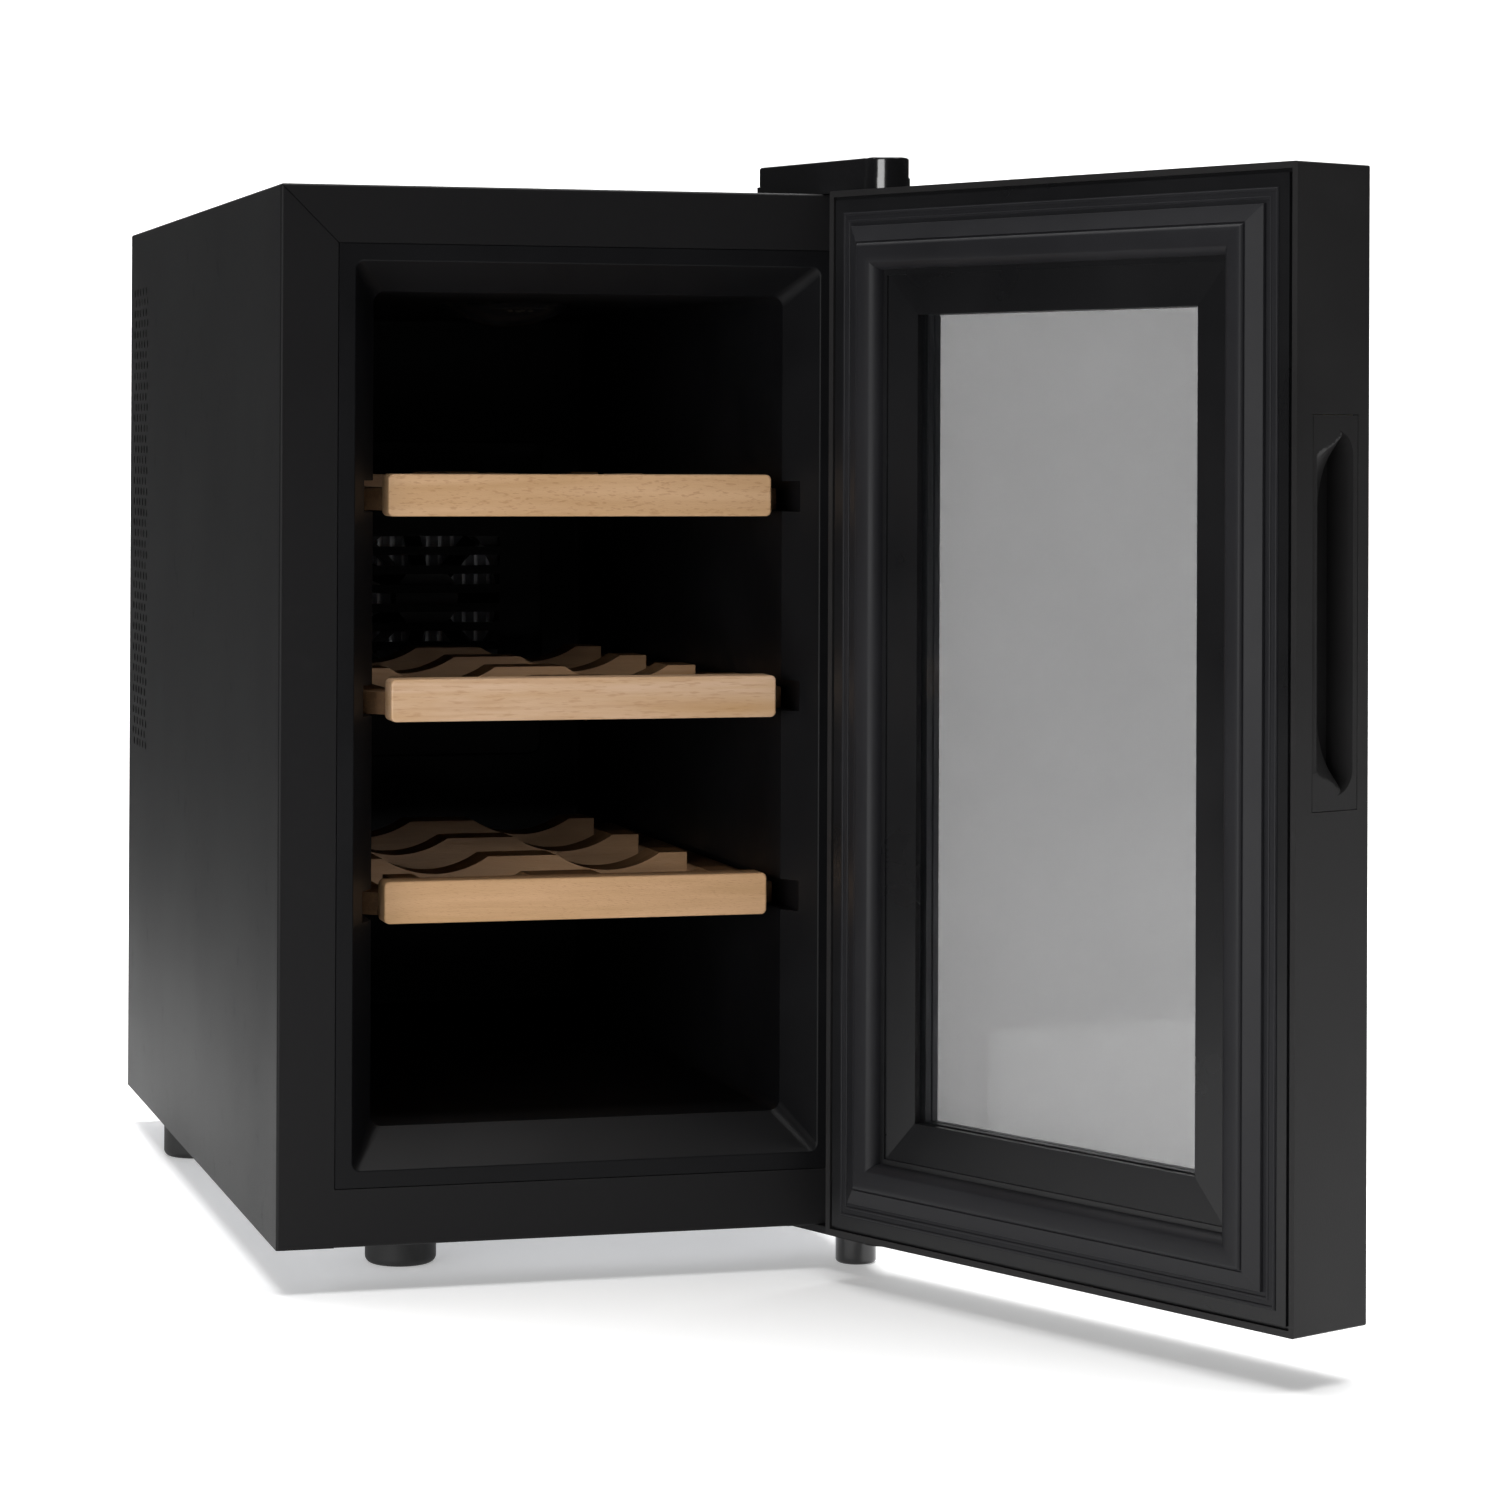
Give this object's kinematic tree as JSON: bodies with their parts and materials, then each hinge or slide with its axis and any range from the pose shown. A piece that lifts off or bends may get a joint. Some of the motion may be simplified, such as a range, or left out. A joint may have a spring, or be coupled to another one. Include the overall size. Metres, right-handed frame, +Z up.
{
  "type": "wine cooler",
  "caption": "Compact free-standing thermoelectric wine cooler with a hinged glazed door, sliding beech shelves, a lamp, and fans behind a rear grille.",
  "frame": {"origin": "on the floor, under the middle of the cabinet's footprint (width and depth of the casing, without the door)", "axes": "+X to the right seen from the front, +Y to the back, +Z up; the door opens towards -Y"},
  "size_m": [0.3555, 0.7164, 0.4514],
  "materials": {
    "black_steel": "satin",
    "galvanised_steel": "satin",
    "liner_plastic": "satin",
    "casing_plastic": "satin",
    "gloss_black": "gloss",
    "foam": "matte",
    "aluminium": "satin",
    "dark_aluminium": "satin",
    "ceramic": "matte",
    "rubber": "matte",
    "gasket": "satin",
    "magnet": "matte",
    "nylon": "satin",
    "board": "satin",
    "brass": "polished",
    "lens": "satin",
    "glass": "gloss",
    "beech": "satin",
    "steel_screw": "satin"
  },
  "bodies": {
    "cabinet": {"outer_shell": "black_steel", "front_rail": "black_steel", "base_pan": "galvanised_steel", "inner_liner": "liner_plastic", "cabinet_foam": "foam", "back_panel": "black_steel", "back_panel_screws": "steel_screw", "rear_fan_guard": "casing_plastic", "rear_spacers": "casing_plastic", "front_left_foot": "rubber", "rear_left_foot": "rubber", "rear_right_foot": "rubber", "levelling_leg": "gloss_black", "inner_fan_cover": "liner_plastic", "cold_sink": "aluminium", "cold_block": "aluminium", "thermoelectric_module": "ceramic", "hot_sink": "aluminium", "inner_fan_frame": "casing_plastic", "outer_fan_frame": "casing_plastic", "temperature_sensor": "nylon", "power_board": "board", "power_inlet": "casing_plastic", "inlet_pins": "brass", "lamp_lens": "lens", "lamp_board": "ceramic", "hinge_cover": "gloss_black", "upper_hinge_plate": "galvanised_steel", "upper_hinge_pin": "galvanised_steel", "upper_hinge_screws": "steel_screw", "lower_hinge_bracket": "black_steel", "lower_hinge_pin": "galvanised_steel", "lower_hinge_screws": "steel_screw", "hinge_washer": "nylon"},
    "door": {"door_frame": "casing_plastic", "door_inner_frame": "casing_plastic", "glazing_bead": "gloss_black", "door_foam": "foam", "touch_board": "board", "door_gasket": "gasket", "gasket_magnets": "magnet", "inner_pane": "glass", "middle_pane": "glass", "glazing_spacer": "dark_aluminium", "front_glass": "glass", "handle_cup": "casing_plastic", "door_bushes": "nylon"},
    "lower_shelf": {"lower_shelf_board": "beech", "lower_shelf_rails": "beech", "lower_shelf_slats": "beech"},
    "middle_shelf": {"middle_shelf_board": "beech", "middle_shelf_rails": "beech", "middle_shelf_slats": "beech"},
    "upper_shelf": {"upper_shelf_board": "beech", "upper_shelf_rails": "beech", "upper_shelf_slats": "beech"},
    "inner_fan": {"inner_fan_rotor": "casing_plastic"},
    "outer_fan": {"outer_fan_rotor": "casing_plastic"}
  },
  "joints": [
    {"name": "door_hinge", "type": "hinge", "parent": "cabinet", "child": "door", "pos_m": [0.1153, -0.2477, 0.228], "axis": [0, 0, 1], "range_deg": [-114.1, 16]},
    {"name": "lower_shelf_slide", "type": "slide", "parent": "cabinet", "child": "lower_shelf", "axis": [0, -1, 0], "range_m": [0, 0.2]},
    {"name": "middle_shelf_slide", "type": "slide", "parent": "cabinet", "child": "middle_shelf", "axis": [0, -1, 0], "range_m": [0, 0.2]},
    {"name": "upper_shelf_slide", "type": "slide", "parent": "cabinet", "child": "upper_shelf", "axis": [0, -1, 0], "range_m": [0, 0.2]},
    {"name": "inner_fan_spin", "type": "hinge", "parent": "cabinet", "child": "inner_fan", "pos_m": [0, 0.115, 0.262], "axis": [0, 1, 0], "continuous": true},
    {"name": "outer_fan_spin", "type": "hinge", "parent": "cabinet", "child": "outer_fan", "pos_m": [0, 0.2, 0.262], "axis": [0, 1, 0], "continuous": true}
  ]
}
